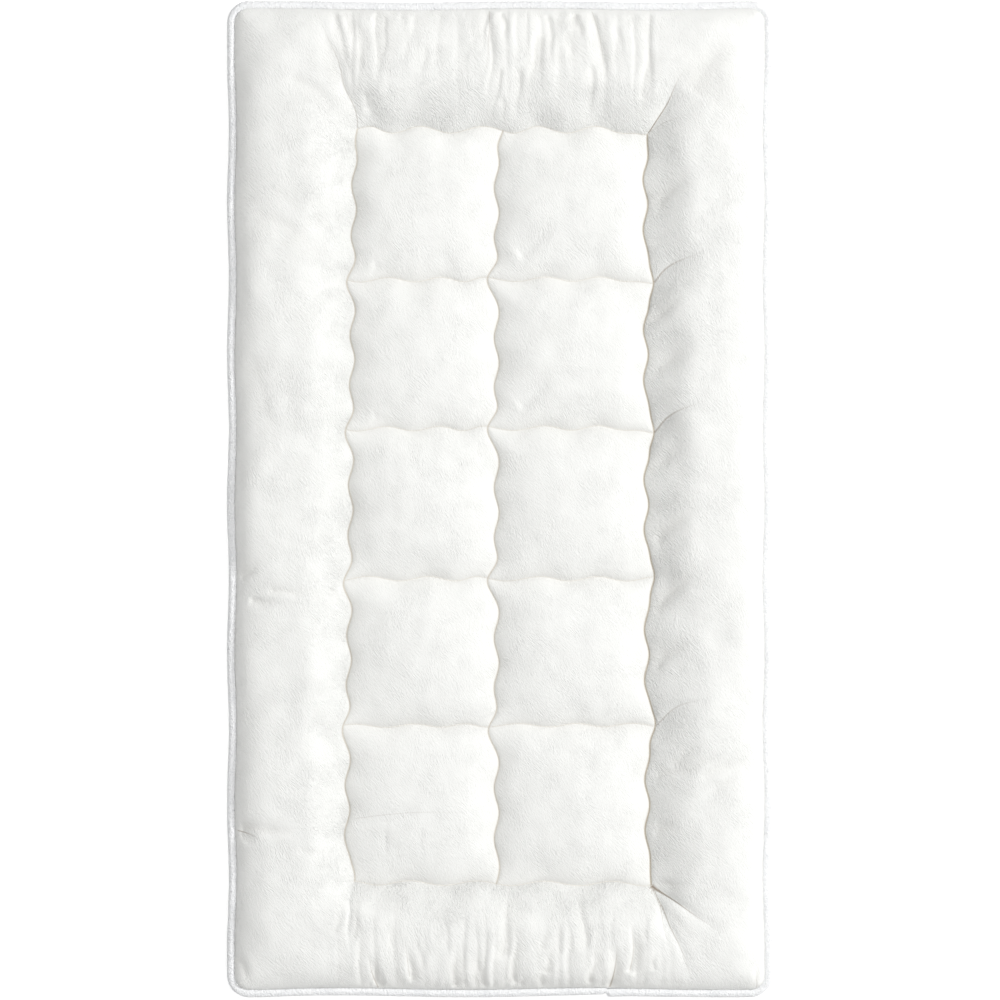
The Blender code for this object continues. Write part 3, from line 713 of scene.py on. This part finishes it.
def cloth_material(name, roughness, sheen):
    """A matt cloth, its tree, its shader and the place that its patterns follow."""
    material = bpy.data.materials.new(name)
    material.use_nodes = True
    tree = material.node_tree
    shader = tree.nodes["Principled BSDF"]
    shader.inputs["Roughness"].default_value = roughness
    shader.inputs["Specular IOR Level"].default_value = CLOTH_SPECULAR
    shader.inputs["Sheen Weight"].default_value = sheen
    shader.inputs["Sheen Roughness"].default_value = SHEEN_ROUGHNESS
    place = add_node(tree, "ShaderNodeTexCoord").outputs["Object"]
    return material, tree, shader, place


def set_relief(tree, shader, height, depth, strength):
    inputs = [("Strength", strength), ("Distance", depth), ("Height", height)]
    bump = add_node(tree, "ShaderNodeBump", inputs)
    tree.links.new(bump.outputs["Normal"], shader.inputs["Normal"])


def lying_pile(tree, place, strokes):
    """Noise drawn out into strokes that all lie one way."""
    inputs = [
        ("Vector", place),
        ("Rotation", (0.0, 0.0, math.radians(strokes.degrees))),
        ("Scale", (strokes.length, strokes.width, strokes.width * 2)),
    ]
    turned = add_node(tree, "ShaderNodeMapping", inputs, vector_type="TEXTURE")
    inputs = [("Vector", turned.outputs["Vector"]), ("Scale", 1.0), ("Detail", 3.0)]
    inputs.append(("Distortion", PILE_CRINKLE))
    return add_node(tree, "ShaderNodeTexNoise", inputs).outputs["Fac"]


plush, tree, shader, place = cloth_material("plush", roughness=0.95, sheen=0.05)
swirl = mottle(tree, place, SWIRL_SIZE, detail=1.0, output="Color")
bent = add_node(
    tree,
    "ShaderNodeVectorMath",
    [(0, swirl), (1, (SWIRL_REACH, SWIRL_REACH, SWIRL_REACH)), (2, place)],
    operation="MULTIPLY_ADD",
).outputs["Vector"]
main_pile = lying_pile(tree, bent, MAIN_STROKES)
other_pile = lying_pile(tree, bent, OTHER_STROKES)
nap = between(tree, patchy(tree, place, STROKE_PATCHES), main_pile, other_pile)
nap = maths(tree, "SUBTRACT", nap, 0.5)
ruffled = patchy(tree, place, RUFFLED_PATCHES)
standing = maths(tree, "MULTIPLY_ADD", ruffled, RUFFLED_PILE, FLAT_PILE)
nap = maths(tree, "MULTIPLY", nap, standing)
fuzz = mottle(tree, place, FUZZ_SIZE)
nap = maths(tree, "MULTIPLY_ADD", fuzz, FUZZ_SHARE, nap)
relief = maths(tree, "MULTIPLY", nap, surface_value(tree, "pile"))
set_relief(tree, shader, relief, PILE_HEIGHT, PILE_STRENGTH)
lean = patchy(tree, place, LEANING_PATCHES)
colour = tinted(tree, lean, PLUSH_WHITE, PLUSH_LEANING_AWAY)
# Painted shade in the folds' troughs and beside the tiles' seams
colour = tinted(tree, surface_value(tree, "fold"), colour, FOLD_PAINTED_SHADE)
# Painted shade in the crease along each seam
colour = tinted(tree, surface_value(tree, "seam"), colour, SEAM_PAINTED_SHADE)
# Painted shade in the line at the bottom of each tuck
tuck_aside = maths(tree, "ABSOLUTE", surface_value(tree, "tuck_aside"))
painted_tuck_line = steepened(tree, tuck_aside, 1.0, 0.0)
painted_tuck_line = maths(tree, "MULTIPLY", painted_tuck_line, surface_value(tree, "tuck_painted_shade"))
colour = tinted(tree, painted_tuck_line, colour, TUCK_PAINTED_SHADE)
tree.links.new(colour, shader.inputs["Base Color"])

pad_mesh.materials.append(plush)
pad = bpy.data.objects.new("quilted_pad", pad_mesh)
bpy.context.scene.collection.objects.link(pad)
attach(pad, "root")
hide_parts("pad")


# The quilting thread is machine-sewn through face, filling and backing along every seam,
# so its stitches show at the bottom of the channels on both sides.
STITCH_PITCH = 0.0034
STITCH_LENGTH = 0.0027
THREAD_THICKNESS = 0.0006
THREAD_BEIGE = (0.760, 0.720, 0.650, 1.0)
THREAD_SHADE = (0.600, 0.555, 0.490, 1.0)
TWIST_SIZE = 0.0008
SEAM_POINT_STEP = 0.004


def seam_runs(height):
    """The points of every seam, one run for each, at one height."""
    runs = []
    for x in LONG_SEAMS:
        steps = round((CROSS_SEAMS[-1] - CROSS_SEAMS[0]) / SEAM_POINT_STEP)
        y = np.linspace(CROSS_SEAMS[0], CROSS_SEAMS[-1], steps)
        runs.append(face_place(np.full_like(y, x), y))
    for y in CROSS_SEAMS:
        steps = round((LONG_SEAMS[-1] - LONG_SEAMS[0]) / SEAM_POINT_STEP)
        x = np.linspace(LONG_SEAMS[0], LONG_SEAMS[-1], steps)
        runs.append(face_place(x, np.full_like(x, y)))
    return [np.stack([x, y, np.full_like(x, height)], axis=1) for x, y in runs]


def stitch_tree():
    """Geometry nodes that lay stitches end to end along the edges of a mesh."""
    tree = bpy.data.node_groups.new("stitches", "GeometryNodeTree")
    sockets = (
        ("Seams", "NodeSocketGeometry"),
        ("Stitch pitch", "NodeSocketFloat"),
        ("Stitch length", "NodeSocketFloat"),
        ("Thread thickness", "NodeSocketFloat"),
        ("Thread", "NodeSocketMaterial"),
    )
    for name, kind in sockets:
        tree.interface.new_socket(name=name, in_out="INPUT", socket_type=kind)
    tree.interface.new_socket(name="Stitches", in_out="OUTPUT", socket_type="NodeSocketGeometry")
    given = add_node(tree, "NodeGroupInput").outputs
    curves = add_node(tree, "GeometryNodeMeshToCurve", [("Mesh", given["Seams"])])
    spaced = add_node(
        tree,
        "GeometryNodeResampleCurve",
        [("Curve", curves.outputs["Curve"]), ("Length", given["Stitch pitch"])],
        mode="LENGTH",
    )
    along = add_node(tree, "GeometryNodeInputTangent").outputs["Tangent"]
    turned = add_node(tree, "FunctionNodeAlignRotationToVector", [("Vector", along)], axis="Z")
    stitch = add_node(
        tree, "GeometryNodeMeshUVSphere", [("Segments", 6), ("Rings", 4), ("Radius", 0.5)]
    )
    sizes = [("X", given["Thread thickness"]), ("Y", given["Thread thickness"])]
    sizes.append(("Z", given["Stitch length"]))
    size = add_node(tree, "ShaderNodeCombineXYZ", sizes)
    laid = add_node(
        tree,
        "GeometryNodeInstanceOnPoints",
        [
            ("Points", spaced.outputs["Curve"]),
            ("Instance", stitch.outputs["Mesh"]),
            ("Rotation", turned.outputs["Rotation"]),
            ("Scale", size.outputs["Vector"]),
        ],
    )
    real = add_node(
        tree, "GeometryNodeRealizeInstances", [("Geometry", laid.outputs["Instances"])]
    )
    rounded_off = add_node(
        tree, "GeometryNodeSetShadeSmooth", [("Geometry", real.outputs["Geometry"])]
    )
    sewn = add_node(
        tree,
        "GeometryNodeSetMaterial",
        [("Geometry", rounded_off.outputs["Geometry"]), ("Material", given["Thread"])],
    )
    result = add_node(tree, "NodeGroupOutput")
    tree.links.new(sewn.outputs["Geometry"], result.inputs["Stitches"])
    return tree


thread_cloth, tree, shader, place = cloth_material("quilting_thread", roughness=0.85, sheen=0.0)
twist = mottle(tree, place, TWIST_SIZE)
tree.links.new(tinted(tree, twist, THREAD_BEIGE, THREAD_SHADE), shader.inputs["Base Color"])

seam_points, seam_edges = [], []
for run in seam_runs(SEAM_HEIGHT + THREAD_THICKNESS / 4) + seam_runs(CHANNEL_DEPTH):
    first = len(seam_points)
    seam_points += run.tolist()
    seam_edges += [(first + n, first + n + 1) for n in range(len(run) - 1)]
guide_mesh = bpy.data.meshes.new("seam_guide")
guide_mesh.from_pydata(seam_points, seam_edges, [])
guide = bpy.data.objects.new("seam_guide", guide_mesh)
bpy.context.scene.collection.objects.link(guide)
sewing = guide.modifiers.new("stitches", "NODES")
sewing.node_group = stitch_tree()
settings = {
    "Stitch pitch": STITCH_PITCH,
    "Stitch length": STITCH_LENGTH,
    "Thread thickness": THREAD_THICKNESS,
    "Thread": thread_cloth,
}
for socket in sewing.node_group.interface.items_tree:
    if socket.name in settings:
        sewing[socket.identifier] = settings[socket.name]
sewn = guide.evaluated_get(bpy.context.evaluated_depsgraph_get())
thread_mesh = bpy.data.meshes.new_from_object(sewn)
bpy.data.objects.remove(guide, do_unlink=True)
thread = bpy.data.objects.new("quilting_thread", thread_mesh)
bpy.context.scene.collection.objects.link(thread)
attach(thread, "root")


# The piping is a soft cord in a sleeve of short brushed cloth, caught in the seam between
# the face and the backing all round the edge. Its ends meet at a joint on the right half
# of the foot, where one end is tucked in and the other lies a little outside it.
PIPING_STEP = 0.003
PIPING_SIDES = 20
PIPING_WHITE = (0.920, 0.925, 0.930, 1.0)
PIPING_PATCH_AND_SHADE_GREY = (0.805, 0.815, 0.830, 1.0)
PIPING_LUMPS = Lumps(0.0005, 0.030, 0.2)
PIPING_PUCKERS = Lumps(0.0004, 0.007, 0.7)
PUCKER_TURN = 0.02  # how far apart in the noise the piping's sides lie
TUFT_SIZE = 0.0026
TUFT_DEPTH = 0.0030
TUFT_STRENGTH = 0.9
# The gaps between the tufts get painted shade
TUFT_TOP = 0.60  # the noise values at which the gaps between tufts start and end
TUFT_BOTTOM = 0.30
DARKER_PATCHES = Patches(0.030, 3.0, 0.50, 0.72)
JOINT_X = 0.1414
JOINT_REACH = 0.030
JOINT_STEP = 0.0018  # how far each end lies aside of the seam line
JOINT_PINCH = 0.0016
JOINT_WIDTH = 0.0028


def piping_route():
    """Points once round the middle of the piping, close together."""
    reach = PAD_RADIUS - SEWN_IN + PIPING_DIAMETER / 2
    mid_x, mid_y = HALF_WIDTH - PAD_RADIUS, HALF_LENGTH - PAD_RADIUS
    sides = (
        ((mid_x, mid_y), 0.0, 2 * mid_x),
        ((-mid_x, mid_y), 0.5, 2 * mid_y),
        ((-mid_x, -mid_y), 1.0, 2 * mid_x),
        ((mid_x, -mid_y), 1.5, 2 * mid_y),
    )
    route = []
    for (x, y), turn, length in sides:
        corner_steps = round(reach * math.pi / 2 / PIPING_STEP)
        for step in range(corner_steps):
            angle = (turn + 0.5 * step / corner_steps) * math.pi
            route.append((x + reach * math.cos(angle), y + reach * math.sin(angle)))
        angle = (turn + 0.5) * math.pi
        start_x, start_y = x + reach * math.cos(angle), y + reach * math.sin(angle)
        straight_steps = round(length / PIPING_STEP)
        for step in range(straight_steps):
            gone = length * step / straight_steps
            run_x, run_y = -math.sin(angle), math.cos(angle)
            route.append((start_x + run_x * gone, start_y + run_y * gone))
    return np.array(route)


route = piping_route()
route_x, route_y = drawn_in(route[:, 0], route[:, 1])
drawn_route = np.stack([route_x, route_y])
ahead = np.roll(drawn_route, -1, axis=1) - np.roll(drawn_route, 1, axis=1)
ahead /= np.hypot(*ahead)
out_x, out_y = ahead[1], -ahead[0]
turn = 2 * np.pi * np.arange(PIPING_SIDES) / PIPING_SIDES
at_foot = np.where(route_y < -HALF_LENGTH / 2, 1.0, 0.0)
from_joint = route_x - JOINT_X
aside = JOINT_STEP * at_foot * np.sign(from_joint) * np.exp(-abs(from_joint) / JOINT_REACH)
route_x += out_x * aside
route_y += out_y * aside
pinch = JOINT_PINCH * at_foot * np.exp(-((from_joint / JOINT_WIDTH) ** 2))
lumpy = lumpiness(route_x, route_y, PIPING_LUMPS)
pucker_x = route_x[:, None] + PUCKER_TURN * np.cos(turn)
pucker_y = route_y[:, None] + PUCKER_TURN * np.sin(turn)
puckered = lumpiness(pucker_x, pucker_y, PIPING_PUCKERS)
radius = PIPING_DIAMETER / 2 + (lumpy - pinch)[:, None] - abs(puckered)
radius = np.minimum(radius, PIPING_DIAMETER / 2)
piping_points = np.stack(
    [
        route_x[:, None] + out_x[:, None] * radius * np.cos(turn),
        route_y[:, None] + out_y[:, None] * radius * np.cos(turn),
        EDGE_HEIGHT + radius * np.sin(turn),
    ],
    axis=-1,
).reshape(-1, 3)
ring = np.arange(PIPING_SIDES)
next_side = (ring + 1) % PIPING_SIDES
piping_faces = []
for step in range(len(route)):
    here = step * PIPING_SIDES
    there = (step + 1) % len(route) * PIPING_SIDES
    piping_faces += np.stack(
        [here + ring, there + ring, there + next_side, here + next_side], axis=1
    ).tolist()
piping_mesh = bpy.data.meshes.new("edge_piping")
piping_mesh.from_pydata(piping_points.tolist(), [], piping_faces)
piping_mesh.shade_smooth()

piping_cloth, tree, shader, place = cloth_material("piping_cloth", roughness=0.9, sheen=0.1)
tufts = mottle(tree, place, TUFT_SIZE, detail=3.0)
set_relief(tree, shader, tufts, TUFT_DEPTH, TUFT_STRENGTH)
# Darker in random soft patches, with painted shade in the gaps between the tufts
darker_patches = patchy(tree, place, DARKER_PATCHES)
shade_between_tufts = steepened(tree, tufts, TUFT_TOP, TUFT_BOTTOM)
patches_and_painted_shade = maths(tree, "MULTIPLY", maths(tree, "ADD", darker_patches, shade_between_tufts), 0.5)
tree.links.new(tinted(tree, patches_and_painted_shade, PIPING_WHITE, PIPING_PATCH_AND_SHADE_GREY), shader.inputs["Base Color"])
piping_mesh.materials.append(piping_cloth)
piping = bpy.data.objects.new("edge_piping", piping_mesh)
bpy.context.scene.collection.objects.link(piping)
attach(piping, "root")
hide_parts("piping")


# The studio is a pale floor under soft light: a white room, a wide soft panel overhead, and
# one lamp high on the right and a little towards the head.
FLOOR_SIZE = 14.0
FLOOR_DROP = 0.0005  # how far it lies under the topper, so that no two faces coincide
FLOOR_GREY = (0.84, 0.84, 0.84, 1.0)
FLOOR_PALE_GREY = (0.86, 0.86, 0.86, 1.0)
FLOOR_TONE_SIZE = 0.9
FLOOR_GLOW = 0.38
KEY_TURN = 21.0  # from straight right towards the head, in degrees
KEY_ELEVATION = 37.0
KEY_DISTANCE = 8.0
KEY_SIZE = 1.3
KEY_POWER = 322.0
PANEL_SIZE = 6.0
PANEL_HEIGHT = 4.5
PANEL_POWER = 165.0
ROOM_LIGHT_LEFT = 0.10
ROOM_LIGHT_RIGHT = 0.465
CAMERA_PLACE = (0.0004, -0.0013)
VIEW_WIDTH = 1.3306
LENS = 100.0
SENSOR = 36.0
FARTHEST_SEEN = 50.0

floor_mesh = bpy.data.meshes.new("floor")
half = FLOOR_SIZE / 2
corners = [(-half, -half, 0.0), (half, -half, 0.0), (half, half, 0.0), (-half, half, 0.0)]
floor_mesh.from_pydata(corners, [], [(0, 1, 2, 3)])
floor_paint, tree, shader, place = cloth_material("floor_paint", roughness=0.9, sheen=0.0)
floor_tone = mottle(tree, place, FLOOR_TONE_SIZE)
floor_colour = tinted(tree, floor_tone, FLOOR_GREY, FLOOR_PALE_GREY)
tree.links.new(floor_colour, shader.inputs["Base Color"])
# The floor also glows with light of its own, which lightens the shadows cast on it
shader.inputs["Emission Color"].default_value = (1.0, 1.0, 1.0, 1.0)
shader.inputs["Emission Strength"].default_value = FLOOR_GLOW
floor_mesh.materials.append(floor_paint)
floor = bpy.data.objects.new("floor", floor_mesh)
bpy.context.scene.collection.objects.link(floor)
floor.location.z = -FLOOR_DROP

world = bpy.data.worlds.new("room")
world.use_nodes = True
background = world.node_tree.nodes["Background"]
background.inputs["Color"].default_value = (1.0, 1.0, 1.0, 1.0)
direction = add_node(world.node_tree, "ShaderNodeTexCoord").outputs["Generated"]
axes = add_node(world.node_tree, "ShaderNodeSeparateXYZ", [(0, direction)])
rightwards = steepened(world.node_tree, axes.outputs["X"], -1.0, 1.0)
strength = between(world.node_tree, rightwards, ROOM_LIGHT_LEFT, ROOM_LIGHT_RIGHT)
world.node_tree.links.new(strength, background.inputs["Strength"])
bpy.context.scene.world = world

key_light = bpy.data.lights.new("key_lamp", "AREA")
key_light.size = KEY_SIZE
key_light.energy = KEY_POWER
key = bpy.data.objects.new("key_lamp", key_light)
flat = KEY_DISTANCE * math.cos(math.radians(KEY_ELEVATION))
key.location = (
    flat * math.cos(math.radians(KEY_TURN)),
    flat * math.sin(math.radians(KEY_TURN)),
    KEY_DISTANCE * math.sin(math.radians(KEY_ELEVATION)),
)
key.rotation_euler = key.location.to_track_quat("Z", "Y").to_euler()
bpy.context.scene.collection.objects.link(key)

panel_light = bpy.data.lights.new("overhead_panel", "AREA")
panel_light.size = PANEL_SIZE
panel_light.energy = PANEL_POWER
panel = bpy.data.objects.new("overhead_panel", panel_light)
panel.location.z = PANEL_HEIGHT
bpy.context.scene.collection.objects.link(panel)

camera_data = bpy.data.cameras.new("camera")
camera_data.lens = LENS
camera_data.sensor_width = SENSOR
camera_data.clip_end = FARTHEST_SEEN
camera = bpy.data.objects.new("camera", camera_data)
camera.location = (*CAMERA_PLACE, EDGE_HEIGHT + VIEW_WIDTH * LENS / SENSOR)
bpy.context.scene.collection.objects.link(camera)
bpy.context.scene.camera = camera
bpy.context.scene.view_settings.view_transform = "Standard"
